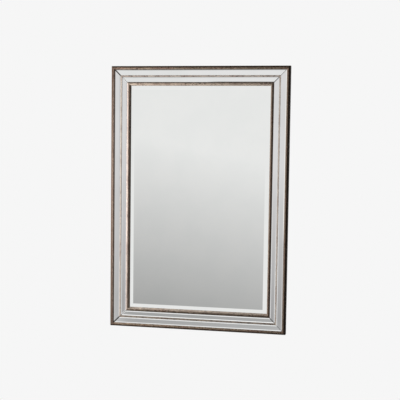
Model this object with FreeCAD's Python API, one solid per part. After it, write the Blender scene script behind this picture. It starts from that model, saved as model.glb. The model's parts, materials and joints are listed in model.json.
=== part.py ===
import FreeCAD, Part
import math
import os

from FreeCAD import Vector

# Rectangular wall mirror. A stepped, mitred frame carries three rings of gilded
# half-round bead and two rings of bevelled mirror strip round one bevelled plate,
# and two folding rings on screwed straps hang it on the wall.
# Lengths are in millimetres. X runs to the right as seen from the front, Y runs
# into the wall and Z runs up. The origin lies on the wall plane, midway between
# the two points where the turned-up rings bear on their wall hooks.

# Whole mirror
overall_width = 708.0
overall_height = 1040.0
hang_drop = 190.0

# Frame moulding in section: a width runs from the outer edge towards the middle,
# a height runs from the flat back of the frame towards the front
outer_ledge_height = 26.0
ledge_step = 5.0
lip_thickness = 4.0
board_ledge_width = 10.0
back_arris = 1.5

# Beads
outer_bead_width = 13.5
outer_bead_height = 9.0
middle_bead_width = 6.0
middle_bead_height = 5.8
middle_bead_rise = 2.4
inner_bead_width = 12.0
inner_bead_height = 9.0
bead_nose_width = 4.2

# Mirror strips, each bedded on double-sided tape
outer_strip_width = 22.4
inner_strip_width = 19.4
strip_side_gap = 0.3
strip_mitre_gap = 1.2
strip_thickness = 3.0
strip_edge_thickness = 1.8
strip_bevel_width = 3.6
tape_thickness = 1.0
tape_width = 12.0
tape_end_setback = 15.0

# Main mirror plate and what holds it in the frame's rebate
plate_cover = 4.5
plate_thickness = 5.0
plate_edge_thickness = 3.0
plate_bevel_width = 22.0
film_thickness = 0.2
packer_thickness = 1.5
packer_length = 40.0
packer_place_share = 0.3
foam_thickness = 1.8
foam_width = 10.0
foam_edge_distance = 4.0
foam_joint_setback = 0.4
board_thickness = 3.0
board_edge_gap = 0.75

# Flat steel points pressed into the rebate's wall to hold the backing board
stile_point_count = 5
rail_point_count = 3
point_corner_distance = 110.0
point_width = 6.0
point_thickness = 0.5
point_reach = 8.0
point_bite = 7.0
point_tip_length = 2.5

# Steel nails driven across each mitre from the back
mitre_nail_insets = [16.0, 40.0]
mitre_nail_leg = 6.0
mitre_nail_thickness = 1.0
mitre_nail_height = 10.0
mitre_nail_sink = 0.4

# Hanging ring, an even triangle of round wire with its bar in the strap's knuckle
ring_wire_radius = 1.5
ring_bend_radius = 3.0
ring_leg_angle = 30.0
ring_side_gap = 0.5
ring_running_gap = 0.08
ring_strap_gap = 0.9

# Strap that holds the ring, and its two screws
strap_width = 14.0
strap_thickness = 1.2
strap_bend_radius = 2.4
strap_wrap_angle = 290.0
strap_screw_clearance = 1.8
strap_screw_spacing = 16.0
strap_tail_margin = 7.5
strap_hole_gap = 0.25
screw_head_radius = 3.6
screw_head_rise = 2.3
screw_shank_radius = 1.75
screw_shank_length = 16.0
hanger_wall_gap = 0.62

# Rubber bumpers that keep the frame off the wall
bumper_base_radius = 8.0
bumper_face_radius = 7.0
bumper_corner_distance = 60.0

# One overrun for every cutting and trimming shape
overrun = 5.0

# Widths added up from the outer edge
outer_strip_inset = outer_bead_width + strip_side_gap
middle_bead_inset = outer_strip_inset + outer_strip_width + strip_side_gap
step_inset = middle_bead_inset + middle_bead_width
inner_strip_inset = step_inset + strip_side_gap
inner_bead_inset = inner_strip_inset + inner_strip_width + strip_side_gap
sight_inset = inner_bead_inset + inner_bead_width
lip_inset = sight_inset - bead_nose_width
plate_inset = sight_inset - plate_cover
rebate_inset = plate_inset - packer_thickness
board_rebate_inset = rebate_inset - board_ledge_width
board_inset = board_rebate_inset + board_edge_gap
back_band_inset = board_rebate_inset / 2

# Heights above the back of the frame. The plate's bevel bears on the lip and on the
# inner bead's nose along the sight line, and its backing is stacked behind it
inner_ledge_height = outer_ledge_height - ledge_step
frame_depth = outer_ledge_height + outer_bead_height
rebate_height = inner_ledge_height - lip_thickness
plate_bevel_drop = plate_thickness - plate_edge_thickness
plate_front_height = rebate_height + plate_bevel_drop - plate_bevel_drop * plate_cover / plate_bevel_width
film_front_height = plate_front_height - plate_thickness
foam_front_height = film_front_height - film_thickness
board_front_height = foam_front_height - foam_thickness
board_recess = board_front_height - board_thickness

# Hanger sizes that follow the ring wire and the strap
knuckle_bore_radius = ring_wire_radius + ring_running_gap
knuckle_middle_radius = knuckle_bore_radius + strap_thickness / 2
knuckle_outer_radius = knuckle_bore_radius + strap_thickness
knuckle_height = strap_thickness + ring_strap_gap + ring_wire_radius
ring_bar_length = strap_width + 2 * ring_side_gap
leg_radians = math.radians(ring_leg_angle)
ring_leg_length = ring_bar_length / 2 / math.sin(leg_radians)
ring_drop = ring_leg_length * math.cos(leg_radians) + 2 * ring_bend_radius
first_screw_drop = ring_drop + ring_wire_radius + strap_screw_clearance + screw_head_radius
second_screw_drop = first_screw_drop + strap_screw_spacing
strap_tail_drop = second_screw_drop + strap_tail_margin

# Places in the mirror's own frame
half_width = overall_width / 2
half_height = overall_height / 2
wall_gap = knuckle_height + knuckle_outer_radius + hanger_wall_gap
frame_back_y = -wall_gap
top_z = hang_drop
middle_z = top_z - half_height
bottom_z = top_z - overall_height
ring_bar_z = ring_wire_radius - ring_drop
hanger_x = half_width - back_band_inset

side_names = ["left", "right", "top", "bottom"]
root_two = math.sqrt(2)


# Points and plain shapes that every piece of the frame shares

def half_run(side):
    if side in ("left", "right"):
        return half_height
    return half_width


def place(side, inset, height, along):
    # inset from the outer edge, height above the frame's back, along the side from its middle
    y = frame_back_y - height
    if side == "left":
        return Vector(-half_width + inset, y, middle_z + along)
    if side == "right":
        return Vector(half_width - inset, y, middle_z + along)
    if side == "top":
        return Vector(along, y, top_z - inset)
    return Vector(along, y, bottom_z + inset)


def outline_wire(locate, start, moves):
    # a move with one point is a straight line, a move with two is an arc through the first
    edges = []
    here = locate(*start)
    for move in moves:
        points = [locate(*point) for point in move]
        if len(points) == 2:
            edges.append(Part.Arc(here, points[0], points[1]).toShape())
        else:
            edges.append(Part.makeLine(here, points[0]))
        here = points[-1]
    return Part.Wire(edges)


def prism(side, outline, low, high):
    # an outline of inset and along, raised from one height to another
    points = [place(side, inset, low, along) for inset, along in outline]
    closed = Part.makePolygon(points + [points[0]])
    return Part.Face(closed).extrude(Vector(0, low - high, 0))


def mitred_outline(side, near_inset, far_inset, end_setback):
    # four corners between two insets, with ends at 45 degrees
    near_end = half_run(side) - near_inset - end_setback
    far_end = half_run(side) - far_inset - end_setback
    return [(near_inset, -near_end), (far_inset, -far_end), (far_inset, far_end), (near_inset, near_end)]


def bar_outline(near_inset, far_inset, middle, length):
    return [
        (near_inset, middle - length / 2),
        (far_inset, middle - length / 2),
        (far_inset, middle + length / 2),
        (near_inset, middle + length / 2),
    ]


def moulding(side, start, moves, end_setback=0):
    # a section of inset and height, run along one side and mitred at both ends
    reach = half_run(side)
    section = outline_wire(lambda inset, height: place(side, inset, height, -reach), start, moves)
    run = place(side, 0, 0, reach) - place(side, 0, 0, -reach)
    stick = Part.Face(section).extrude(run)
    wedge_outline = mitred_outline(side, -overrun, sight_inset + overrun, end_setback)
    wedge = prism(side, wedge_outline, -overrun, frame_depth + overrun)
    return stick.common(wedge).Solids[0]


def turned(x, z, start, moves):
    # a profile of radius and height above the frame's back, turned about a line along Y
    profile = outline_wire(lambda radius, height: Vector(x + radius, frame_back_y - height, z), start, moves)
    return Part.Face(profile).revolve(Vector(x, 0, z), Vector(0, 1, 0), 360)


def drill(x, z, radius, low, high):
    return Part.makeCylinder(radius, high - low, Vector(x, frame_back_y - low, z), Vector(0, -1, 0))


# Fasteners that pass into the frame

def hanger_screw_places():
    places = []
    for x in (-hanger_x, hanger_x):
        for drop in (first_screw_drop, second_screw_drop):
            places.append(Vector(x, frame_back_y, ring_bar_z - drop))
    return places


def hanger_screws():
    # round head on the strap and a plain shank towards the front
    crown = -strap_thickness - screw_head_rise
    tip = screw_shank_length - strap_thickness
    screws = []
    for spot in hanger_screw_places():
        screws.append(turned(spot.x, spot.z, (0, crown), [
            [(screw_head_radius, crown)],
            [(screw_head_radius, -strap_thickness)],
            [(screw_shank_radius, -strap_thickness)],
            [(screw_shank_radius, tip)],
            [(0, tip)],
            [(0, crown)],
        ]))
    return screws


def pilot_holes():
    depth = screw_shank_length - strap_thickness
    return [drill(spot.x, spot.z, screw_shank_radius, -overrun, depth) for spot in hanger_screw_places()]


def backing_points():
    # thin flat tabs, their tips pressed into the rebate's wall and their tails over the board
    points = []
    for side in side_names:
        count = stile_point_count if side in ("left", "right") else rail_point_count
        reach = half_run(side) - point_corner_distance
        for number in range(count):
            middle = reach * (2 * number / (count - 1) - 1)
            half = point_width / 2
            shoulder = board_rebate_inset - point_bite + point_tip_length
            outline = [
                (board_rebate_inset - point_bite, middle),
                (shoulder, middle - half),
                (board_rebate_inset + point_reach, middle - half),
                (board_rebate_inset + point_reach, middle + half),
                (shoulder, middle + half),
            ]
            points.append(prism(side, outline, board_recess - point_thickness, board_recess))
    return points


def mitre_nails(low):
    # each nail is a bent steel strip with its bend on the mitre and a leg in either member
    near = -mitre_nail_thickness / 2
    far = mitre_nail_thickness / 2
    corner_shape = [
        (near, near), (mitre_nail_leg, near), (mitre_nail_leg, far),
        (far, far), (far, mitre_nail_leg), (near, mitre_nail_leg),
    ]
    nails = []
    for across in (-1, 1):
        for up in (-1, 1):
            for inset in mitre_nail_insets:
                points = []
                for inward_x, inward_z in corner_shape:
                    x = across * (half_width - inset - inward_x)
                    z = middle_z + up * (half_height - inset - inward_z)
                    points.append(Vector(x, frame_back_y - low, z))
                height = mitre_nail_sink + mitre_nail_height - low
                outline = Part.Face(Part.makePolygon(points + [points[0]]))
                nails.append(outline.extrude(Vector(0, -height, 0)))
    return nails


# The wooden frame

def frame_member(side):
    section = [
        [(0, outer_ledge_height)],
        [(step_inset, outer_ledge_height)],
        [(step_inset, inner_ledge_height)],
        [(lip_inset, inner_ledge_height)],
        [(lip_inset, rebate_height)],
        [(rebate_inset, rebate_height)],
        [(rebate_inset, board_front_height)],
        [(board_rebate_inset, board_front_height)],
        [(board_rebate_inset, 0)],
        [(back_arris, 0)],
        [(0, back_arris)],
    ]
    member = moulding(side, (0, back_arris), section)
    holes = pilot_holes() + backing_points() + mitre_nails(-overrun)
    return member.cut(Part.makeCompound(holes)).Solids[0]


# Gilded beads: upright sides under a rounded top

def bead_section(near, far, foot, crown, rise):
    # a rise of half the width makes the top half-round
    spring = crown - rise
    return [
        [(near, spring)],
        [((near + far) / 2, crown), (far, spring)],
        [(far, foot)],
        [(near, foot)],
    ]


def outer_bead(side):
    section = bead_section(0, outer_bead_width, outer_ledge_height, frame_depth, outer_bead_width / 2)
    return moulding(side, (0, outer_ledge_height), section)


def middle_bead(side):
    crown = outer_ledge_height + middle_bead_height
    section = bead_section(middle_bead_inset, step_inset, outer_ledge_height, crown, middle_bead_rise)
    return moulding(side, (middle_bead_inset, outer_ledge_height), section)


def inner_bead(side):
    # its nose drops over the frame's inner face and bears on the plate's bevel
    radius = inner_bead_width / 2
    crown = inner_ledge_height + inner_bead_height
    section = [
        [(inner_bead_inset, crown - radius)],
        [(inner_bead_inset + radius, crown), (sight_inset, crown - radius)],
        [(sight_inset, rebate_height)],
        [(lip_inset, rebate_height)],
        [(lip_inset, inner_ledge_height)],
        [(inner_bead_inset, inner_ledge_height)],
    ]
    return moulding(side, (inner_bead_inset, inner_ledge_height), section)


# Mirror strips on their tape

def mirror_strip(side, near, width, ledge_height):
    # bevelled along both long edges, with plain mitred ends that leave an open joint
    far = near + width
    bed = ledge_height + tape_thickness
    section = [
        [(near, bed + strip_edge_thickness)],
        [(near + strip_bevel_width, bed + strip_thickness)],
        [(far - strip_bevel_width, bed + strip_thickness)],
        [(far, bed + strip_edge_thickness)],
        [(far, bed)],
        [(near, bed)],
    ]
    return moulding(side, (near, bed), section, strip_mitre_gap / root_two)


def outer_mirror_strip(side):
    return mirror_strip(side, outer_strip_inset, outer_strip_width, outer_ledge_height)


def inner_mirror_strip(side):
    return mirror_strip(side, inner_strip_inset, inner_strip_width, inner_ledge_height)


def strip_tape(near, width, ledge_height):
    middle = near + width / 2
    lengths = []
    for side in side_names:
        outline = mitred_outline(side, middle - tape_width / 2, middle + tape_width / 2, tape_end_setback)
        lengths.append(prism(side, outline, ledge_height, ledge_height + tape_thickness))
    return lengths


# The main plate and its backing

def centred_outline(inset):
    # the whole mirror's rectangle drawn in by one inset, as seen from the left side
    return [
        (inset, -half_height + inset),
        (overall_width - inset, -half_height + inset),
        (overall_width - inset, half_height - inset),
        (inset, half_height - inset),
    ]


def main_mirror_plate():
    # its front slopes down to a thinner edge all round
    edge_front = film_front_height + plate_edge_thickness
    body = prism("left", centred_outline(plate_inset), film_front_height, edge_front)
    slope_edges = []
    for step, height in ((0, plate_edge_thickness), (plate_bevel_width, plate_thickness)):
        front = film_front_height + height
        points = [place("left", near, front, along) for near, along in centred_outline(plate_inset + step)]
        slope_edges.append(Part.makePolygon(points + [points[0]]))
    slope = Part.makeLoft(slope_edges, True, True)
    return body.fuse(slope).removeSplitter().Solids[0]


def safety_film():
    return prism("left", centred_outline(plate_inset), foam_front_height, film_front_height)


def edge_packers():
    packers = []
    for side in side_names:
        for way in (-1, 1):
            middle = way * packer_place_share * 2 * half_run(side)
            outline = bar_outline(rebate_inset, plate_inset, middle, packer_length)
            packers.append(prism(side, outline, film_front_height, film_front_height + plate_edge_thickness))
    return packers


def foam_strips():
    near = plate_inset + foam_edge_distance
    strips = []
    for side in side_names:
        outline = mitred_outline(side, near, near + foam_width, foam_joint_setback)
        strips.append(prism(side, outline, board_front_height, foam_front_height))
    return strips


def backing_board():
    return prism("left", centred_outline(board_inset), board_recess, board_front_height)


# Hangers: a folding ring of round wire in the rolled knuckle of a screwed strap

def strap_line(offset):
    # the bent strip's line at one offset from its middle layer: flat on the frame,
    # lifted in two short bends, then rolled round the ring's bar
    low = strap_thickness / 2
    rise = knuckle_height - knuckle_middle_radius - low
    bend_angle = math.acos(1 - rise / (2 * strap_bend_radius))
    run = 2 * strap_bend_radius * math.sin(bend_angle)
    first_radius = strap_bend_radius - offset
    second_radius = strap_bend_radius + offset
    knuckle_radius = knuckle_middle_radius - offset

    def first_bend(angle):
        return (first_radius * math.sin(angle) - run, low + strap_bend_radius - first_radius * math.cos(angle))

    def second_bend(angle):
        top = low + rise - strap_bend_radius + second_radius * math.cos(angle)
        return (-second_radius * math.sin(angle), top)

    def knuckle(degrees):
        turn = math.radians(degrees)
        return (knuckle_radius * math.sin(turn), knuckle_height - knuckle_radius * math.cos(turn))

    return (-strap_tail_drop, low + offset), [
        [first_bend(0)],
        [first_bend(bend_angle / 2), first_bend(bend_angle)],
        [second_bend(bend_angle / 2), second_bend(0)],
        [knuckle(strap_wrap_angle / 2), knuckle(strap_wrap_angle)],
    ]


def hanger_strap(x):
    half = strap_width / 2

    def in_section(up, height):
        return Vector(x - half, frame_back_y + height, ring_bar_z + up)

    def in_plan(across, up):
        return Vector(x + across, frame_back_y - overrun, ring_bar_z + up)

    faces = (-strap_thickness / 2, strap_thickness / 2)
    lines = [outline_wire(in_section, *strap_line(offset)) for offset in faces]
    ends = [Part.makeLine(lines[0].Vertexes[tip].Point, lines[1].Vertexes[tip].Point) for tip in (0, -1)]
    outline = Part.Wire(Part.__sortEdges__(lines[0].Edges + lines[1].Edges + ends))
    strip = Part.Face(outline).extrude(Vector(strap_width, 0, 0))
    top = knuckle_outer_radius + overrun
    plan = outline_wire(in_plan, (-half, top), [
        [(-half, half - strap_tail_drop)],
        [(0, -strap_tail_drop), (half, half - strap_tail_drop)],
        [(half, top)],
        [(-half, top)],
    ])
    strap = strip.common(Part.Face(plan).extrude(Vector(0, wall_gap + 2 * overrun, 0)))
    for drop in (first_screw_drop, second_screw_drop):
        hole_radius = screw_shank_radius + strap_hole_gap
        strap = strap.cut(drill(x, ring_bar_z - drop, hole_radius, -strap_thickness - overrun, overrun))
    return strap.Solids[0]


def bent_wire(start, heading, steps):
    # round wire bent in an upright plane: each step is a straight length, then a bend
    # of the given angle towards the wire's right-hand side
    pieces = []
    axis = Vector(0, 1, 0)
    for length, degrees in steps:
        pieces.append(Part.makeCylinder(ring_wire_radius, length, start, heading))
        start = start + heading * length
        outward = heading.cross(axis)
        centre = start - outward * ring_bend_radius
        bend = Part.makeTorus(ring_bend_radius, ring_wire_radius, Vector(), Vector(0, 0, 1), -180, 180, degrees)
        bend.Placement = FreeCAD.Placement(centre, FreeCAD.Rotation(outward, -heading, axis))
        pieces.append(bend)
        turn = FreeCAD.Rotation(axis, degrees)
        start = centre + turn.multVec(start - centre)
        heading = turn.multVec(heading)
    return pieces[0].fuse(pieces[1:]).Solids[0]


def hanging_ring(x):
    # drawn hanging straight down: bar, corner, leg, tip, leg and corner back to the bar
    start = Vector(x - ring_bar_length / 2, frame_back_y + knuckle_height, ring_bar_z)
    corner_turn = 90 + ring_leg_angle
    tip_turn = 180 - 2 * ring_leg_angle
    return bent_wire(start, Vector(1, 0, 0), [
        (ring_bar_length, corner_turn),
        (ring_leg_length, tip_turn),
        (ring_leg_length, corner_turn),
    ])


def wall_bumpers():
    # round rubber pads that taper a little
    bumpers = []
    for x in (-hanger_x, hanger_x):
        for z in (top_z - bumper_corner_distance, bottom_z + bumper_corner_distance):
            bumpers.append(turned(x, z, (0, 0), [
                [(bumper_base_radius, 0)],
                [(bumper_face_radius, -wall_gap)],
                [(0, -wall_gap)],
                [(0, 0)],
            ]))
    return bumpers


# Every sub-part by name

def build_nodes():
    nodes = {}
    member_names = {
        "left": "frame_stile_left",
        "right": "frame_stile_right",
        "top": "frame_rail_top",
        "bottom": "frame_rail_bottom",
    }
    for side in side_names:
        nodes[member_names[side]] = frame_member(side)
    makers = [outer_bead, outer_mirror_strip, middle_bead, inner_mirror_strip, inner_bead]
    for maker in makers:
        for side in side_names:
            nodes[maker.__name__ + "_" + side] = maker(side)
    groups = {
        "outer_strip_tape": strip_tape(outer_strip_inset, outer_strip_width, outer_ledge_height),
        "inner_strip_tape": strip_tape(inner_strip_inset, inner_strip_width, inner_ledge_height),
        "edge_packers": edge_packers(),
        "foam_strips": foam_strips(),
        "backing_points": backing_points(),
        "corner_v_nails": mitre_nails(mitre_nail_sink),
        "hanger_screws": hanger_screws(),
        "wall_bumpers": wall_bumpers(),
    }
    for name, solids in groups.items():
        nodes[name] = Part.makeCompound(solids)
    nodes["main_mirror_plate"] = main_mirror_plate()
    nodes["safety_film"] = safety_film()
    nodes["backing_board"] = backing_board()
    for side, x in (("left", -hanger_x), ("right", hanger_x)):
        nodes["hanger_strap_" + side] = hanger_strap(x)
        nodes["hanging_ring_" + side] = hanging_ring(x)
    return nodes


os.makedirs("parts", exist_ok=True)
for node_name, shape in build_nodes().items():
    shape.exportStep("parts/" + node_name + ".step")
    print(node_name, len(shape.Solids), "solids", round(shape.Volume), "mm3")
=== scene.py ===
import json
import math
import bmesh
import bpy
from mathutils import Euler, Matrix, Vector

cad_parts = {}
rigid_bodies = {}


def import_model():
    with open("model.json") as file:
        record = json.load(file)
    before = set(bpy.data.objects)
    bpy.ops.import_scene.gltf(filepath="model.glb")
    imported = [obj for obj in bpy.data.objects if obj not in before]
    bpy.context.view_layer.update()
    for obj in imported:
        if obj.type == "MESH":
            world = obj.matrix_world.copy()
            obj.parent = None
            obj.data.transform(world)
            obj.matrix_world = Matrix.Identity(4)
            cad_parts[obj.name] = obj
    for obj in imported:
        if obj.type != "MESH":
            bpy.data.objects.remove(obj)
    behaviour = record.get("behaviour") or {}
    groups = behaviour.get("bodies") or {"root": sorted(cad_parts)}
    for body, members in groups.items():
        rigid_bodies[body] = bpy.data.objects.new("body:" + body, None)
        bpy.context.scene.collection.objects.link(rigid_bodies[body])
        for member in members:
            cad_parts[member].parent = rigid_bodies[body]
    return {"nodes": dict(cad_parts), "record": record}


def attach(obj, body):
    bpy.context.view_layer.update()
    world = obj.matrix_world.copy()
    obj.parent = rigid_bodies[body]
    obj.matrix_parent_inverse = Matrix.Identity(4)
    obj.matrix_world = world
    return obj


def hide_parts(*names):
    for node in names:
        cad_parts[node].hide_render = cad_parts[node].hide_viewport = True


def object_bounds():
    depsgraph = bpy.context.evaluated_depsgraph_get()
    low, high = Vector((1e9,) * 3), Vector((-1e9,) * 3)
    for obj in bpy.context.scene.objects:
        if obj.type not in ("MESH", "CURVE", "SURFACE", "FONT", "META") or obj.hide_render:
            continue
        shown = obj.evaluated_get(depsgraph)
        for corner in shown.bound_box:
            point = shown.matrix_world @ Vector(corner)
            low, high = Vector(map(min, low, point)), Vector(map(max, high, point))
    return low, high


# start from an empty file, then bring in the mirror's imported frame
for leftover in list(bpy.data.objects):
    bpy.data.objects.remove(leftover)
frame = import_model()
nodes = frame["nodes"]
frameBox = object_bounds()
print("frame loaded:", len(nodes), "nodes")


# a socket that understands + - * / and a few named operations
class Signal:
    def __init__(self, tree, socket):
        self.tree = tree
        self.socket = socket

    def maths(self, operation, *values):
        node = self.tree.nodes.new("ShaderNodeMath")
        node.operation = operation
        for place, value in enumerate(values):
            if isinstance(value, Signal):
                self.tree.links.new(value.socket, node.inputs[place])
            else:
                node.inputs[place].default_value = value
        return Signal(self.tree, node.outputs[0])

    def __add__(self, other):
        return self.maths("ADD", self, other)

    def __radd__(self, other):
        return self.maths("ADD", other, self)

    def __sub__(self, other):
        return self.maths("SUBTRACT", self, other)

    def __rsub__(self, other):
        return self.maths("SUBTRACT", other, self)

    def __mul__(self, other):
        return self.maths("MULTIPLY", self, other)

    def __rmul__(self, other):
        return self.maths("MULTIPLY", other, self)

    def __truediv__(self, other):
        return self.maths("DIVIDE", self, other)

    def __rtruediv__(self, other):
        return self.maths("DIVIDE", other, self)

    def size(self):
        return self.maths("ABSOLUTE", self)

    def atMost(self, other):
        return self.maths("MINIMUM", self, other)

    def atLeast(self, other):
        return self.maths("MAXIMUM", self, other)


# one material, or the world: its node tree, with short ways to add what the finishes below use
class Finish:
    def __init__(self, name, world=None):
        self.holder = bpy.data.materials.new(name) if world is None else world
        self.holder.use_nodes = True
        self.tree = self.holder.node_tree
        self.tree.nodes.clear()

    def add(self, kind, settings=None, sockets=None, output=0):
        # output is the number or the name of the socket that is wanted from the new node
        node = self.tree.nodes.new(kind)
        for key, value in (settings or {}).items():
            setattr(node, key, value)
        for key, value in (sockets or {}).items():
            if isinstance(value, Signal):
                self.tree.links.new(value.socket, node.inputs[key])
            else:
                node.inputs[key].default_value = value
        return Signal(self.tree, node.outputs[output]) if node.outputs else None

    def place(self, stretch=(1, 1, 1)):
        # object coordinates, in metres, stretched along each axis
        where = self.add("ShaderNodeTexCoord", output="Object")
        return self.add("ShaderNodeMapping", {}, {"Vector": where, "Scale": stretch})

    def axis(self, letter, source="Object"):
        # one coordinate by itself
        where = self.add("ShaderNodeTexCoord", output=source)
        return self.add("ShaderNodeSeparateXYZ", {}, {"Vector": where}, letter)

    def noise(self, scale, detail, roughness, distortion=0.0, stretch=(1, 1, 1)):
        # the finishes below list a pattern's values in this order
        return self.add("ShaderNodeTexNoise", {}, {
            "Vector": self.place(stretch), "Scale": scale, "Detail": detail,
            "Roughness": roughness, "Distortion": distortion,
        })

    def between(self, value, low, high, start=0.0, end=1.0, curve="SMOOTHSTEP"):
        # value carried from low..high to start..end, and held beyond them
        return self.add("ShaderNodeMapRange", {"interpolation_type": curve, "clamp": True}, {
            "Value": value, "From Min": low, "From Max": high, "To Min": start, "To Max": end,
        })

    def band(self, value, low, high, edge):
        # one from low to high, and nothing more than an edge's width outside them
        return self.between(value, low - edge, low) * self.between(value, high + edge, high)

    def mix(self, share, *colours):
        # two colours, each a (red, green, blue) or another mix. A Mix node takes colours at 6 and 7
        first, second = (tone if isinstance(tone, Signal) else (*tone, 1) for tone in colours)
        return self.add("ShaderNodeMix", {"data_type": "RGBA"}, {0: share, 6: first, 7: second}, 2)

    def vector(self, operation, *values, output=0):
        # values are signals or (x, y, z)
        return self.add("ShaderNodeVectorMath", {"operation": operation}, dict(enumerate(values)), output)

    def lean(self, share, first, second):
        # a direction from the first towards the second, at unit length. Vectors go in at 4 and 5
        turned = self.add("ShaderNodeMix", {"data_type": "VECTOR"}, {0: share, 4: first, 5: second}, 1)
        return self.vector("NORMALIZE", turned)

    def bump(self, height, relief, normal=None):
        # relief is the depth in metres and how strongly it shows
        sockets = {"Height": height, "Distance": relief[0], "Strength": relief[1]}
        if normal:
            sockets["Normal"] = normal
        return self.add("ShaderNodeBump", {}, sockets)

    def surface(self, sockets):
        shader = self.add("ShaderNodeBsdfPrincipled", {}, sockets)
        self.add("ShaderNodeOutputMaterial", {}, {"Surface": shader})
        return self.holder


def blended(share, first, second):
    # a number carried from the first to the second by the share
    return first + share * (second - first)


# the mirror's front faces -Y. Its stiles run along Z and its rails along X
front = (0.0, -1.0, 0.0)
runs = {"left": "z", "right": "z", "top": "x", "bottom": "x"}

# where the right half begins across the front, and where the inner ring of strips begins inwards
zones = {"right": (-0.01, 0.01), "inner": (0.038, 0.041)}


def alongRun(run, stretch):
    # shrinks coordinates along the run, so that a pattern is drawn out in that direction
    return (stretch, 1.0, 1.0) if run == "x" else (1.0, 1.0, stretch)


def insetFromEdge(paint):
    # how far in from the mirror's outline a point lies, and how far from a mitre, in metres
    low, high = frameBox
    across = paint.axis("X")
    up = paint.axis("Z")
    fromSides = (across - low[0]).atMost(high[0] - across)
    fromEnds = (up - low[2]).atMost(high[2] - up)
    return fromSides.atMost(fromEnds), (fromSides - fromEnds).size()


def zonesOf(paint, inset):
    # one on the right half, and one on the inner ring of strips
    return paint.between(paint.axis("X"), *zones["right"]), paint.between(inset, *zones["inner"])


# gilded beads: bronze leaf over a brown ground, rubbed in streaks along each run; the outer
# bead's outer shoulder is toned dark, and the leaf gets paler towards the middle beads. Light and
# shade are painted into the leaf as well: each side has its own tones, lighter on the left and
# darker on the right
goldLeaf = {
    # the outer shoulder's dark toning, with painted shade in it: set per side and darkest on the right
    "shoulder": {
        "left": (0.110, 0.070, 0.046), "right": (0.050, 0.034, 0.024),
        "top": (0.110, 0.070, 0.046), "bottom": (0.120, 0.078, 0.052)},
    # painted light and shade: each leaf tone is set per side, lighter on the left beads and darker on the
    # right, and lighter on the inward flanks and at the sight edge
    "outerLeafAndLight": {
        "left": (0.348, 0.243, 0.187), "right": (0.230, 0.165, 0.118),
        "top": (0.340, 0.245, 0.175), "bottom": (0.340, 0.245, 0.175)},
    "flankLeafAndLight": {
        "left": (0.975, 0.745, 0.610), "right": (0.400, 0.300, 0.225),
        "top": (0.470, 0.360, 0.265), "bottom": (0.440, 0.330, 0.245)},
    "middleLeafAndLight": {
        "left": (0.900, 0.800, 0.710), "right": (0.860, 0.760, 0.670),
        "top": (0.820, 0.720, 0.640), "bottom": (0.480, 0.410, 0.350)},
    "innerLeafAndLight": {
        "left": (0.900, 0.740, 0.650), "right": (0.410, 0.290, 0.215),
        "top": (0.600, 0.460, 0.360), "bottom": (0.340, 0.260, 0.200)},
    "sightLeafAndLight": {
        "left": (1.000, 0.750, 0.570), "right": (0.640, 0.500, 0.400),
        "top": (1.000, 0.810, 0.650), "bottom": (0.780, 0.650, 0.550)},
    "rosyLeaf": (0.400, 0.235, 0.190),
    "paleFleck": (0.860, 0.690, 0.510),
    "ground": (0.070, 0.044, 0.030),
    "speck": (0.014, 0.010, 0.008),
    # how far in each leaf takes over from the one before it, in metres
    "starts": {"flankLeafAndLight": (0.0065, 0.0095), "middleLeafAndLight": (0.018, 0.034), "innerLeafAndLight": (0.045, 0.060)},
    "sightStart": {
        "left": (0.0685, 0.0720), "right": (0.0685, 0.0720),
        "top": (0.0642, 0.0682), "bottom": (0.0712, 0.0743)},
    # patterns: scale, detail, roughness and, where there is any, distortion
    "patches": (30.0, 4.0, 0.6, 0.6),
    "rosyPatches": (12.9, 3.0, 0.5),
    "streaks": (260.0, 5.0, 0.62, 0.3),
    "grain": (900.0, 2.0, 0.5),
    "flecks": (170.0, 2.0, 0.6),
    "stretch": {"streaks": 0.12, "grain": 0.4, "flecks": 0.8},
    # between which values of its pattern each mark comes in, and how strongly
    "rosyCut": (0.44, 0.64),
    "paleCut": (0.46, 0.34),
    "streakCut": (0.52, 0.70),
    "patchCut": (0.35, 0.60),
    "bareCut": (0.52, 0.66),
    "speckCut": (0.63, 0.71),
    "rosyShare": {"x": 0.55, "z": 0.35},
    "paleShare": {"x": 0.55, "z": 0.15},
    "wornLeast": 0.35,
    "wornMost": {"x": 0.90, "z": 0.60},
    "bareShare": {"x": 0.70, "z": 0.20},
    "speckShare": 0.85,
    # the toned shoulder, dark lines of painted shade in the creases where the beads meet the glass, and
    # dark lines at the mitres
    "shoulderReach": (0.0085, 0.0040),
    "shoulderShare": 0.9,
    "joints": {"x": (0.0135, 0.0625), "z": (0.0135, 0.0625, 0.0745)},
    "jointReach": 0.0008,
    "jointShare": 0.8,
    "mitreReach": 0.0007,
    "mitreShare": 0.85,
    "middleBead": (0.0362, 0.0430),
    "middleEdge": 0.001,
    "middleFlatness": 0.88,
    # painted sheen: the middle bead's metal share is set per side, strongest on the left
    "middlePaintedSheen": {"left": 0.80, "right": 0.55, "top": 0.43, "bottom": 0.35},
    "shine": 0.03,
    "gloss": 0.08,
    "roughness": 0.44,
    "wornRoughness": 0.2,
    "grainRoughness": 0.1,
    "relief": (0.0002, 0.5),
}


def leafAndLightTone(paint, side, inset):
    # the leaf before it is rubbed, from the outer bead in to the inner one, with painted light and shade
    # in its tones for each side
    tone = goldLeaf["outerLeafAndLight"][side]
    for layer, start in goldLeaf["starts"].items():
        tone = paint.mix(paint.between(inset, *start), tone, goldLeaf[layer][side])
    atSight = paint.between(inset, *goldLeaf["sightStart"][side])
    return paint.mix(atSight, tone, goldLeaf["sightLeafAndLight"][side])


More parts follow.
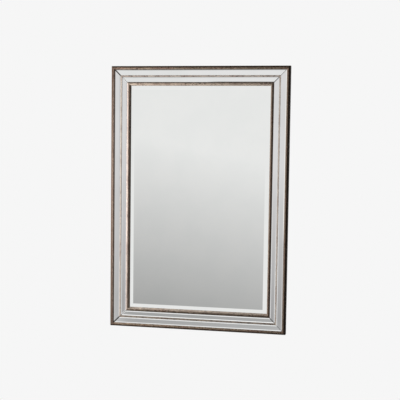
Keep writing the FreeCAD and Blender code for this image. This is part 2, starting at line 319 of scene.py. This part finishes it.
def gildedBead(side):
    run = runs[side]
    paint = Finish("gildedBead." + side)
    patches = paint.noise(*goldLeaf["patches"])
    rosyPatches = paint.noise(*goldLeaf["rosyPatches"])
    streaks, grain, flecks = (
        paint.noise(*goldLeaf[pattern], stretch=alongRun(run, stretch))
        for pattern, stretch in goldLeaf["stretch"].items())
    inset, fromMitre = insetFromEdge(paint)
    rosy = paint.between(rosyPatches, *goldLeaf["rosyCut"], 0.0, goldLeaf["rosyShare"][run])
    tone = paint.mix(rosy, leafAndLightTone(paint, side, inset), goldLeaf["rosyLeaf"])
    pale = paint.between(flecks, *goldLeaf["paleCut"], 0.0, goldLeaf["paleShare"][run])
    tone = paint.mix(pale, tone, goldLeaf["paleFleck"])
    rubbed = paint.between(
        patches, *goldLeaf["patchCut"], goldLeaf["wornLeast"], goldLeaf["wornMost"][run])
    worn = paint.between(streaks, *goldLeaf["streakCut"]) * rubbed
    bare = paint.between(flecks, *goldLeaf["bareCut"], 0.0, goldLeaf["bareShare"][run])
    tone = paint.mix(worn.atLeast(bare), tone, goldLeaf["ground"])
    # painted shade as well as toning: the shoulder's dark tone is set per side, darkest on the right
    shoulder = paint.between(inset, *goldLeaf["shoulderReach"], 0.0, goldLeaf["shoulderShare"])
    tone = paint.mix(shoulder, tone, goldLeaf["shoulder"][side])
    # painted shade: the leaf darkens in the creases where each bead meets the glass beside it
    for joint in goldLeaf["joints"][run]:
        away = (inset - joint).size()
        creaseShade = paint.between(away, goldLeaf["jointReach"], 0.0, 0.0, goldLeaf["jointShare"])
        tone = paint.mix(creaseShade, tone, goldLeaf["ground"])
    mitreLine = paint.between(fromMitre, goldLeaf["mitreReach"], 0.0, 0.0, goldLeaf["mitreShare"])
    tone = paint.mix(mitreLine, tone, goldLeaf["speck"])
    specks = paint.between(grain, *goldLeaf["speckCut"])
    tone = paint.mix(specks * goldLeaf["speckShare"], tone, goldLeaf["speck"])
    # the middle bead's shading leans to the front, as if it were nearly flat, and its metal share is a
    # painted sheen set per side
    onMiddle = paint.band(inset, *goldLeaf["middleBead"], goldLeaf["middleEdge"])
    facing = paint.add("ShaderNodeNewGeometry", output="Normal")
    facing = paint.lean(onMiddle * goldLeaf["middleFlatness"], facing, front)
    roughness = goldLeaf["roughness"] + worn * goldLeaf["wornRoughness"]
    return paint.surface({
        "Base Color": tone,
        "Metallic": onMiddle * goldLeaf["middlePaintedSheen"][side] + goldLeaf["shine"],
        "Roughness": roughness + grain * goldLeaf["grainRoughness"],
        "Specular IOR Level": goldLeaf["gloss"],
        "Normal": paint.bump(streaks - specks, goldLeaf["relief"], facing),
    })


# painted wood behind the beads: nearly black, with the grain telegraphing through
frameWood = {
    "paint": (0.022, 0.016, 0.013),
    "thinPaint": (0.055, 0.038, 0.028),
    "dust": (0.100, 0.086, 0.074),
    "stepLeaf": (0.640, 0.560, 0.480),
    # painted light for the mitre gaps, pale where shade would fall
    "paintedLightInMitres": (0.860, 0.840, 0.810),
    "grain": (240.0, 5.0, 0.65, 0.3),
    "grainStretch": 0.05,
    "grainCut": (0.34, 0.62),
    "wear": (34.0, 5.0, 0.6),
    "wearCut": (0.58, 0.78),
    "dustShare": 0.35,
    # the step's upright face, and the open part of the mitres, in metres
    "step": (0.0405, 0.0429),
    "stepEdge": 0.0004,
    "stepFront": (-0.0262, -0.0272),
    "bedReach": (0.0030, 0.0020),
    "bedStart": (0.0130, 0.0140),
    "gloss": 0.03,
    "roughness": 0.62,
    "wearRoughness": 0.25,
    "relief": (0.0004, 0.5),
}


def paintedWood(run):
    paint = Finish("paintedWood." + run)
    grain = paint.noise(*frameWood["grain"], stretch=alongRun(run, frameWood["grainStretch"]))
    wear = paint.noise(*frameWood["wear"])
    thick = paint.between(grain, *frameWood["grainCut"])
    tone = paint.mix(thick, frameWood["thinPaint"], frameWood["paint"])
    dust = paint.between(wear, *frameWood["wearCut"], 0.0, frameWood["dustShare"])
    tone = paint.mix(dust, tone, frameWood["dust"])
    # the step's upright face carries leaf like the bead above it
    inset, fromMitre = insetFromEdge(paint)
    onStep = paint.band(inset, *frameWood["step"], frameWood["stepEdge"])
    inFront = paint.between(paint.axis("Y"), *frameWood["stepFront"])
    tone = paint.mix(onStep * inFront, tone, frameWood["stepLeaf"])
    # painted light: the wood in the open mitres of the outer strips on the right and of the inner ones on
    # the left is made pale, so these gaps don't show the shade in them
    right, inner = zonesOf(paint, inset)
    atMitre = paint.between(fromMitre, *frameWood["bedReach"])
    underStrips = paint.between(inset, *frameWood["bedStart"])
    tone = paint.mix((right - inner).size() * atMitre * underStrips, tone, frameWood["paintedLightInMitres"])
    return paint.surface({
        "Base Color": tone,
        "Roughness": frameWood["roughness"] + wear * frameWood["wearRoughness"],
        "Specular IOR Level": frameWood["gloss"],
        "Normal": paint.bump(grain, frameWood["relief"]),
    })


# silvered glass: the plate's tone is lighter than the strips' round it, and the rail strips' lighter
# than the stile strips' of the same glass, which is painted light. The silver lies flat behind
# the glass, so a bevel bends what it shows the other way, by the glass's index less one
mirrorGlass = {
    # each where it is clear and where it is hazy
    "plate": ((0.885, 0.893, 0.880), (0.868, 0.880, 0.868)),
    # painted light: the rail strips are given a lighter tone than the stile strips
    "railStrip": ((0.836, 0.840, 0.836), (0.808, 0.818, 0.810)),
    "stileStrip": ((0.754, 0.752, 0.754), (0.730, 0.731, 0.731)),
    "haze": (9.0, 3.0, 0.5),
    "hazeCut": (0.35, 0.65),
    "wipe": (60.0, 4.0, 0.6),
    "wipeStretch": (1.0, 1.0, 0.25),
    "wipeCut": (0.50, 0.80),
    "roughness": 0.018,
    "wipeRoughness": 0.02,
    "bending": 0.52,
    "frontness": (0.90, 0.95),
}


def silvered(paint, kind):
    # the tone and the roughness that all the glass has
    haze = paint.between(paint.noise(*mirrorGlass["haze"]), *mirrorGlass["hazeCut"])
    wipe = paint.noise(*mirrorGlass["wipe"], stretch=mirrorGlass["wipeStretch"])
    wipe = paint.between(wipe, *mirrorGlass["wipeCut"], 0.0, mirrorGlass["wipeRoughness"])
    return paint.mix(haze, *mirrorGlass[kind]), mirrorGlass["roughness"] + wipe


def silveredNormal(paint):
    facing = paint.add("ShaderNodeNewGeometry", output="True Normal")
    bending = mirrorGlass["bending"]
    ahead = tuple(part * (1 + bending) for part in front)
    turned = paint.vector("SUBTRACT", ahead, paint.vector("MULTIPLY", facing, [bending] * 3))
    frontness = paint.vector("DOT_PRODUCT", facing, front, output=1)
    return paint.lean(paint.between(frontness, *mirrorGlass["frontness"]), facing, turned)


def plateGlass():
    paint = Finish("plateGlass")
    tone, roughness = silvered(paint, "plate")
    return paint.surface({"Base Color": tone, "Metallic": 1.0, "Roughness": roughness})


# painted reflection, glint and shade in the strips' own edges, and their ends at the mitres: how far in
# each lies, and where it starts up or across
stripEdge = {
    # painted reflection: the dark of the bead beside the outer strips, darkening their edge
    "paintedBeadReflection": (0.210, 0.180, 0.155),
    "besideReach": (0.0178, 0.0138),
    "besideTop": (-0.36, -0.30),
    "besideShare": 0.90,
    "lowClear": 0.45,
    # painted glint: a pale edge on the right outer strip, high up
    "pale": (0.985, 0.955, 0.910),
    "paintedGlintReach": (0.0178, 0.0152),
    "paintedGlintStart": (-0.52, -0.38),
    # painted shade: a dark line along the top inner strip's edge beside the inner bead, on its right half
    "darkReach": (0.0599, 0.0613),
    "darkStart": (0.02, 0.08),
    "darkShare": 0.85,
    # the dark or ground ends that meet at the mitres: the left half's value, then the right's
    "seam": (0.050, 0.046, 0.042),
    "seamReach": (0.0042, 0.0030),
    "seamCore": 0.5,
    "outerSeam": (1.0, 0.07),
    "innerSeam": (0.0, 0.68),
    "ground": (0.960, 0.960, 0.950),
    "groundRoughness": 0.5,
}


def stileEdges(paint, tone, inset, right):
    # the outer strips get a painted reflection of the bead beside them, darkening their edge, the right
    # one
    # only low down: above that it has a painted glint, a pale edge
    high = paint.between(paint.axis("Z"), *stripEdge["paintedGlintStart"])
    facesBead = 1 - right * blended(high, stripEdge["lowClear"], 1.0)
    paintedBeadReflection = paint.between(inset, *stripEdge["besideReach"], 0.0, stripEdge["besideShare"])
    tone = paint.mix(paintedBeadReflection * facesBead, tone, stripEdge["paintedBeadReflection"])
    pale = paint.between(inset, *stripEdge["paintedGlintReach"])
    return paint.mix(pale * right * high, tone, stripEdge["pale"])


def railEdges(paint, tone, inset):
    # the top outer strip gets a painted reflection of the bead beside it, and the top inner one ends in a
    # dark line of painted shade along its right half
    onTop = paint.between(paint.axis("Z"), *stripEdge["besideTop"])
    paintedBeadReflection = paint.between(inset, *stripEdge["besideReach"], 0.0, stripEdge["besideShare"])
    tone = paint.mix(paintedBeadReflection * onTop, tone, stripEdge["paintedBeadReflection"])
    paintedEdgeShade = paint.between(inset, *stripEdge["darkReach"], 0.0, stripEdge["darkShare"])
    paintedEdgeShade = paintedEdgeShade * paint.between(paint.axis("X"), *stripEdge["darkStart"])
    return paint.mix(paintedEdgeShade * onTop, tone, stripEdge["seam"])


def stripGlass(run):
    paint = Finish("stripGlass." + run)
    tone, roughness = silvered(paint, "stileStrip" if run == "z" else "railStrip")
    inset, fromMitre = insetFromEdge(paint)
    right, inner = zonesOf(paint, inset)
    tone = stileEdges(paint, tone, inset, right) if run == "z" else railEdges(paint, tone, inset)
    # at the mitres some joints show the dark bed and some the ground glass
    reach = blended(right, *stripEdge["seamReach"])
    seam = paint.between(fromMitre, reach, reach * stripEdge["seamCore"])
    outerSeam, innerSeam = (blended(right, *stripEdge[key]) for key in ("outerSeam", "innerSeam"))
    tone = paint.mix(seam * blended(inner, outerSeam, innerSeam), tone, stripEdge["seam"])
    ground = seam * inner * (1 - right)
    return paint.surface({
        "Base Color": paint.mix(ground, tone, stripEdge["ground"]),
        "Metallic": 1.0,
        "Roughness": roughness + ground * stripEdge["groundRoughness"],
        "Normal": silveredNormal(paint),
    })


# the backing board: brown hardboard
hardboard = {
    "face": (0.300, 0.190, 0.108),
    "fibre": (0.205, 0.122, 0.066),
    "fleck": (0.420, 0.300, 0.190),
    "clouds": (14.0, 4.0, 0.55),
    "fibres": (900.0, 5.0, 0.75, 0.8),
    # between which values of its pattern each mark comes in, and from nothing to how much
    "cloudCut": (0.35, 0.68, 0.0, 0.55),
    "fibreCut": (0.56, 0.70, 0.0, 0.7),
    "fleckCut": (0.44, 0.32, 0.0, 0.45),
    "gloss": 0.35,
    "roughness": 0.55,
    "fibreRoughness": 0.3,
    "relief": (0.0002, 0.7),
}


def brownBoard():
    paint = Finish("brownBoard")
    clouds = paint.noise(*hardboard["clouds"])
    fibres = paint.noise(*hardboard["fibres"])
    tone = paint.mix(paint.between(clouds, *hardboard["cloudCut"]), hardboard["face"], hardboard["fibre"])
    tone = paint.mix(paint.between(fibres, *hardboard["fibreCut"]), tone, hardboard["fibre"])
    tone = paint.mix(paint.between(fibres, *hardboard["fleckCut"]), tone, hardboard["fleck"])
    return paint.surface({
        "Base Color": tone,
        "Roughness": hardboard["roughness"] + fibres * hardboard["fibreRoughness"],
        "Specular IOR Level": hardboard["gloss"],
        "Normal": paint.bump(fibres, hardboard["relief"]),
    })


# straps, rings, screws, points and nails: zinc-plated steel
zincSteel = {
    "bright": (0.640, 0.645, 0.640),
    "dull": (0.430, 0.440, 0.450),
    "spangleScale": 520.0,
    "film": (160.0, 5.0, 0.65),
    "filmCut": (0.38, 0.66),
    "scratches": (220.0, 4.0, 0.7),
    "scratchStretch": (1.0, 1.0, 14.0),
    "roughness": 0.24,
    "spangleRoughness": 0.12,
    "filmRoughness": 0.18,
    "relief": (0.00008, 0.5),
}


def brightSteel():
    paint = Finish("brightSteel")
    cells = {"Vector": paint.place(), "Scale": zincSteel["spangleScale"]}
    spangle = paint.add("ShaderNodeTexVoronoi", {}, cells)
    film = paint.noise(*zincSteel["film"])
    scratches = paint.noise(*zincSteel["scratches"], stretch=zincSteel["scratchStretch"])
    dulled = paint.between(film, *zincSteel["filmCut"])
    roughness = zincSteel["roughness"] + spangle * zincSteel["spangleRoughness"]
    return paint.surface({
        "Base Color": paint.mix(dulled, zincSteel["bright"], zincSteel["dull"]),
        "Metallic": 1.0,
        "Roughness": roughness + film * zincSteel["filmRoughness"],
        "Normal": paint.bump(scratches, zincSteel["relief"]),
    })


# wall bumpers: black rubber with a chalky bloom
softBlack = {
    "rubber": (0.028, 0.028, 0.030),
    "chalk": (0.085, 0.085, 0.088),
    "bloom": (180.0, 4.0, 0.6),
    "bloomCut": (0.48, 0.75, 0.0, 0.6),
    "skin": (2600.0, 2.0, 0.5),
    "gloss": 0.4,
    "roughness": 0.62,
    "bloomRoughness": 0.25,
    "relief": (0.00008, 0.6),
}


def bumperRubber():
    paint = Finish("bumperRubber")
    bloom = paint.noise(*softBlack["bloom"])
    skin = paint.noise(*softBlack["skin"])
    chalky = paint.between(bloom, *softBlack["bloomCut"])
    return paint.surface({
        "Base Color": paint.mix(chalky, softBlack["rubber"], softBlack["chalk"]),
        "Roughness": softBlack["roughness"] + bloom * softBlack["bloomRoughness"],
        "Specular IOR Level": softBlack["gloss"],
        "Normal": paint.bump(skin, softBlack["relief"]),
    })


# foam, safety film and packers, which lie hidden round the glass
palePacking = {
    "foam": {
        "light": (0.780, 0.785, 0.770), "shade": (0.620, 0.630, 0.615),
        "pores": (1500.0, 4.0, 0.6), "roughness": 0.85},
    "film": {
        "light": (0.650, 0.670, 0.690), "shade": (0.520, 0.545, 0.570),
        "pores": (60.0, 4.0, 0.6), "roughness": 0.45},
    "packer": {
        "light": (0.740, 0.735, 0.700), "shade": (0.600, 0.590, 0.555),
        "pores": (400.0, 4.0, 0.6), "roughness": 0.60},
}
packingSkin = {"poreCut": (0.40, 0.62), "poreRoughness": 0.1, "relief": (0.0002, 0.5)}


def packing(name):
    look = palePacking[name]
    paint = Finish(name)
    pores = paint.noise(*look["pores"])
    shaded = paint.between(pores, *packingSkin["poreCut"])
    return paint.surface({
        "Base Color": paint.mix(shaded, look["light"], look["shade"]),
        "Roughness": look["roughness"] + pores * packingSkin["poreRoughness"],
        "Normal": paint.bump(pores, packingSkin["relief"]),
    })


# a finish for each material slot that looks the same on all sides
finishes = {
    "plate_mirror": plateGlass(),
    "film": packing("film"),
    "packer_plastic": packing("packer"),
    "tape_foam": packing("foam"),
    "board": brownBoard(),
    "steel": brightSteel(),
    "bumper_rubber": bumperRubber(),
}
# the wood and the strips differ by run, and the beads by side
runFinishes = {run: {"frame_wood": paintedWood(run), "strip_mirror": stripGlass(run)} for run in "xz"}
sideFinishes = {side: {"gilded_bead": gildedBead(side), **runFinishes[run]} for side, run in runs.items()}


def finishNodes():
    slotOf = {entry["node"]: entry["material_slot"] for entry in frame["record"]["subparts"]}
    for name, node in nodes.items():
        side = name.split("_")[-1]
        finish = finishes.get(slotOf[name]) or sideFinishes[side][slotOf[name]]
        for slot in node.material_slots:
            slot.material = finish


finishNodes()
print("finishes on", len(nodes), "nodes")


# points nearer than this are one, in a copied node and in a turned piece
weld = {"copied": 0.000001, "turned": 0.0000005}


def solidBoxes(name):
    # the box round each separate solid of one node, from a merged copy of its mesh
    copy = bmesh.new()
    copy.from_mesh(nodes[name].data)
    bmesh.ops.remove_doubles(copy, verts=copy.verts, dist=weld["copied"])
    waiting = set(copy.verts)
    boxes = []
    while waiting:
        island = [waiting.pop()]
        for vert in island:
            for edge in vert.link_edges:
                other = edge.other_vert(vert)
                if other in waiting:
                    waiting.remove(other)
                    island.append(other)
        spans = [[vert.co[axis] for vert in island] for axis in range(3)]
        boxes.append(([min(span) for span in spans], [max(span) for span in spans]))
    copy.free()
    return sorted(boxes)


def arc(end, step):
    # turns from none to the end, both in degrees, as radians
    return [math.radians(degrees) for degrees in range(0, end + 1, step)]


def turnedShape(profile, steps):
    # a closed shape: its profile of (radius, height) stands on the Y axis and is spun round it
    shape = bmesh.new()
    verts = [shape.verts.new((radius, height, 0)) for radius, height in profile]
    edges = [shape.edges.new(pair) for pair in zip(verts, verts[1:])]
    bmesh.ops.spin(
        shape, geom=verts + edges, cent=(0, 0, 0), axis=(0, 1, 0), dvec=(0, 0, 0),
        angle=math.tau, steps=steps, use_merge=True, use_duplicate=False)
    bmesh.ops.remove_doubles(shape, verts=shape.verts, dist=weld["turned"])
    bmesh.ops.recalc_face_normals(shape, faces=shape.faces)
    return shape


def copiesIn(boxes, shape):
    # one bmesh with a copy of the shape on the axis of each box, and the first one freed
    mesh = bpy.data.meshes.new("copied")
    shape.to_mesh(mesh)
    shape.free()
    whole = bmesh.new()
    for low, high in boxes:
        before = len(whole.verts)
        whole.from_mesh(mesh)
        whole.verts.ensure_lookup_table()
        middle = ((low[0] + high[0]) / 2, 0, (low[2] + high[2]) / 2)
        bmesh.ops.translate(whole, verts=whole.verts[before:], vec=middle)
    bpy.data.meshes.remove(mesh)
    return whole


def placePiece(shape, name, slotName, smoothAngle=35):
    # turns a bmesh into a piece of the mirror
    mesh = bpy.data.meshes.new(name)
    shape.to_mesh(mesh)
    shape.free()
    mesh.materials.append(finishes[slotName])
    mesh.shade_smooth()
    mesh.set_sharp_from_angle(angle=math.radians(smoothAngle))
    piece = bpy.data.objects.new(name, mesh)
    bpy.context.scene.collection.objects.link(piece)
    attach(piece, "mirror")
    return piece


# pan-head screws of the hangers: a domed head with a cross recess, and a pointed shank
screw = {
    "headRise": 0.0023,
    "rim": 0.0010,
    "recessReach": 0.0021,
    "recessWidth": 0.0009,
    "recessDepth": 0.0013,
    "taper": 0.62,
    "pointLength": 0.0030,
    "shankShare": 0.486,
    "domeStep": 10,
    "steps": 40,
}


def screwShape(headRadius, crown, tip):
    shank = headRadius * screw["shankShare"]
    seat = crown - screw["headRise"]
    rim = seat + screw["rim"]
    turns = arc(90, screw["domeStep"])
    dome = [(headRadius * math.sin(turn), rim + (crown - rim) * math.cos(turn)) for turn in turns]
    below = [(headRadius, seat), (shank, seat), (shank, tip + screw["pointLength"]), (0, tip)]
    return turnedShape(dome + below, screw["steps"])


def recessBlade(crown, across):
    # one tapered blade of the cross, wide at the crown and narrow at its foot
    blade = bmesh.new()
    bmesh.ops.create_cube(blade, size=1)
    reach, depth, width = screw["recessReach"] * 2, screw["recessDepth"] * 2, screw["recessWidth"]
    size = (reach, depth, width) if across else (width, depth, reach)
    bmesh.ops.scale(blade, vec=size, verts=blade.verts)
    foot = [vert for vert in blade.verts if vert.co.y < 0]
    bmesh.ops.scale(blade, vec=(screw["taper"], 1, screw["taper"]), verts=foot)
    bmesh.ops.translate(blade, vec=(0, crown, 0), verts=blade.verts)
    return blade


def carved(shape, blades):
    # the shape with every blade cut out of it
    holders = []
    for part in [shape] + blades:
        mesh = bpy.data.meshes.new("carving")
        part.to_mesh(mesh)
        part.free()
        holders.append(bpy.data.objects.new("carving", mesh))
        bpy.context.scene.collection.objects.link(holders[-1])
    for blade in holders[1:]:
        cut = holders[0].modifiers.new("cut", "BOOLEAN")
        cut.operation = "DIFFERENCE"
        cut.solver = "EXACT"
        cut.object = blade
    bpy.context.view_layer.update()
    result = bmesh.new()
    result.from_object(holders[0], bpy.context.evaluated_depsgraph_get())
    for holder in holders:
        mesh = holder.data
        bpy.data.objects.remove(holder)
        bpy.data.meshes.remove(mesh)
    return result


def buildScrews():
    boxes = solidBoxes("hanger_screws")
    low, high = boxes[0]
    crown = high[1]
    shape = screwShape((high[0] - low[0]) / 2, crown, low[1])
    shape = carved(shape, [recessBlade(crown, across) for across in (True, False)])
    piece = placePiece(copiesIn(boxes, shape), "hangerScrews", "steel")
    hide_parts("hanger_screws")


# rubber bumpers: a tapered pad with a flat wall face and rounded shoulders
pad = {
    "faceShare": 0.875,
    "edgeRound": 0.0008,
    "footRound": 0.0003,
    "shoulderTurn": 85,
    "shoulderStep": 17,
    "steps": 56,
}


def buildPads():
    boxes = solidBoxes("wall_bumpers")
    low, high = boxes[0]
    foot = (high[0] - low[0]) / 2
    bend = pad["edgeRound"]
    flat, crest = foot * pad["faceShare"] - bend, high[1] - bend
    turns = arc(pad["shoulderTurn"], pad["shoulderStep"])
    shoulder = [(flat + bend * math.sin(turn), crest + bend * math.cos(turn)) for turn in turns]
    skirt = [(foot, low[1] + pad["footRound"]), (foot - pad["footRound"], low[1]), (0, low[1])]
    shape = turnedShape([(0, high[1])] + shoulder + skirt, pad["steps"])
    piece = placePiece(copiesIn(boxes, shape), "wallPads", "bumper_rubber")
    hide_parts("wall_bumpers")


buildScrews()
buildPads()
print("screws and pads built")


# surround: pale, with a lower middle that darkens, as the mirror shows it. Places in it are
# parts of a unit direction: across to the right, away from the wall, and up
surround = {
    "pale": 0.9216,
    "diffuse": 0.05,
    "glassTop": 0.902,
    "glassLow": 0.43,
    "glassFade": 0.19,
    # the darker patch. Its left edge is across divided by away
    "patchTop": -0.0143,
    "patchPivot": -0.19,
    "patchSlope": 0.21,
    "patchAway": (0.80, 0.90),
    "patchLeft": (-0.325, -0.277),
    "patchRight": (0.06, -0.08),
    "patchLow": (-0.260, -0.203),
    # bands: how much each adds or takes away, and where it starts and ends
    "highBand": 0.24,
    "highBandStart": (0.084, 0.096),
    "highBandEnd": (0.24, 0.19),
    "lowBand": 0.08,
    "lowBandStart": (-0.40, -0.48),
    "leftDip": 0.16,
    "leftDipStart": (-0.46, -0.54),
    "leftDipEnd": (-0.72, -0.64),
    # the brightness that it reaches at either side
    "farLeft": 1.6,
    "farLeftStart": (-0.72, -0.92),
    "farRight": 0.45,
    "farRightStart": (0.50, 0.72),
    # the share of it that glass keeps from the beads, from left to right
    "hold": (0.20, 0.92),
    "holdAcross": (-0.20, 0.45),
}
white = (1, 1, 1, 1)


def raysOf(paint):
    # one for what the camera sees by itself, and one for what it sees in glass and metal
    camera, glossy, through = (
        paint.add("ShaderNodeLightPath", output=kind)
        for kind in ("Is Camera Ray", "Is Glossy Ray", "Is Transmission Ray"))
    return camera, glossy.atLeast(through)


def shownByGlass(sky, across):
    # how bright the surround is in each direction, for glass and metal
    away = 0.0 - sky.axis("Y", "Generated")
    up = sky.axis("Z", "Generated")
    # the darker patch starts a little below eye level and slopes across
    start = surround["patchTop"] - (across - surround["patchPivot"]) * surround["patchSlope"]
    patch = sky.between(start - up, 0.0, surround["glassFade"], curve="LINEAR")
    patch = patch * sky.between(away, *surround["patchAway"])
    patch = patch * sky.between(across / away, *surround["patchLeft"])
    patch = patch * sky.between(across, *surround["patchRight"])
    patch = patch * sky.between(up, *surround["patchLow"])
    shown = blended(patch, surround["glassTop"], surround["glassLow"])
    # light bands above and below what the flat glass shows, and a dip, for the bevels to catch
    highBand = sky.between(up, *surround["highBandStart"]) * sky.between(up, *surround["highBandEnd"])
    lowBand = sky.between(up, *surround["lowBandStart"])
    leftDip = sky.between(across, *surround["leftDipStart"]) * sky.between(across, *surround["leftDipEnd"])
    shown = shown + highBand * surround["highBand"] + lowBand * surround["lowBand"]
    shown = shown - leftDip * surround["leftDip"]
    # brighter towards the soft lamp's side, dim on the other
    for side in ("farLeft", "farRight"):
        reach = sky.between(across, *surround[side + "Start"])
        shown = shown + reach * (surround[side] - surround["glassTop"])
    return shown


def paintWorld():
    world = bpy.data.worlds.new("studioSurround")
    bpy.context.scene.world = world
    sky = Finish("studioSurround", world)
    across = sky.axis("X", "Generated")
    camera, shine = raysOf(sky)
    # the glass throws less of the surround back onto the beads than it shows
    hold = sky.between(across, *surround["holdAcross"], *surround["hold"])
    thrown = sky.add("ShaderNodeLightPath", output="Diffuse Depth").atMost(1)
    shine = shine * (1 - thrown * hold)
    level = blended(shine, surround["diffuse"], shownByGlass(sky, across))
    level = blended(camera, level, surround["pale"])
    glow = sky.add("ShaderNodeBackground", {}, {"Color": white, "Strength": level})
    sky.add("ShaderNodeOutputWorld", {}, {"Surface": glow})


# floor: mid grey for the light that it throws back, and pale wherever it is seen
floorSheet = {
    "height": -1.75,
    "reach": 1.5,
    "tone": 0.18,
    "shown": 0.75,
    "glow": 1.0,
    "share": 0.88,
}


def paleFloor():
    paint = Finish("paleFloor")
    camera, shine = raysOf(paint)
    seen = camera.atLeast(shine)
    tone = paint.mix(seen, [floorSheet["tone"]] * 3, [floorSheet["shown"]] * 3)
    matt = paint.add("ShaderNodeBsdfDiffuse", {}, {"Color": tone})
    glow = paint.add("ShaderNodeEmission", {}, {"Color": white, "Strength": floorSheet["glow"]})
    both = paint.add("ShaderNodeMixShader", {}, {0: seen * floorSheet["share"], 1: matt, 2: glow})
    paint.add("ShaderNodeOutputMaterial", {}, {"Surface": both})
    return paint.holder


def layFloor():
    sheet = bmesh.new()
    level = Matrix.Translation((0, 0, floorSheet["height"]))
    bmesh.ops.create_grid(sheet, x_segments=2, y_segments=2, size=floorSheet["reach"], matrix=level)
    mesh = bpy.data.meshes.new("studioFloor")
    sheet.to_mesh(mesh)
    sheet.free()
    mesh.materials.append(paleFloor())
    floor = bpy.data.objects.new("studioFloor", mesh)
    bpy.context.scene.collection.objects.link(floor)


# lamps: a soft one at the far left, a little above the mirror's middle, and one behind it
lamps = {
    "farLeft": {"at": (-1.0, -0.42, -0.22), "to": (0, 0, -0.33), "size": 0.36, "power": 12},
    "behind": {"at": (1.8, 3.2, 0.9), "to": (0, 0, -0.33), "size": 2.4, "power": 120},
}


def hangLamps():
    for name, lamp in lamps.items():
        light = bpy.data.lights.new(name, "AREA")
        light.shape = "SQUARE"
        light.size = lamp["size"]
        light.energy = lamp["power"]
        holder = bpy.data.objects.new(name, light)
        holder.location = lamp["at"]
        holder.rotation_mode = "QUATERNION"
        holder.rotation_quaternion = (Vector(lamp["to"]) - Vector(lamp["at"])).to_track_quat("-Z", "Y")
        holder.visible_glossy = False  # the glass shows the pale surround, not the lamps
        bpy.context.scene.collection.objects.link(holder)


# the photograph's viewpoint: to the right of the mirror and a little above its middle
viewpoint = {
    "at": (0.6438, -3.3070, -0.0902),
    "turn": (85.8470, -0.7450, 11.0360),
    "lens": 76.62,
    "sensor": 36,
    "nearest": 0.05,
    "farthest": 60,
}


def setCamera():
    lens = bpy.data.cameras.new("viewpoint")
    lens.lens = viewpoint["lens"]
    lens.sensor_width = viewpoint["sensor"]
    lens.clip_start = viewpoint["nearest"]
    lens.clip_end = viewpoint["farthest"]
    camera = bpy.data.objects.new("viewpoint", lens)
    camera.location = viewpoint["at"]
    camera.rotation_euler = Euler([math.radians(angle) for angle in viewpoint["turn"]], "XYZ")
    bpy.context.scene.collection.objects.link(camera)
    bpy.context.scene.camera = camera
    bpy.context.scene.view_settings.view_transform = "Standard"


paintWorld()
layFloor()
hangLamps()
setCamera()
print("studio ready")
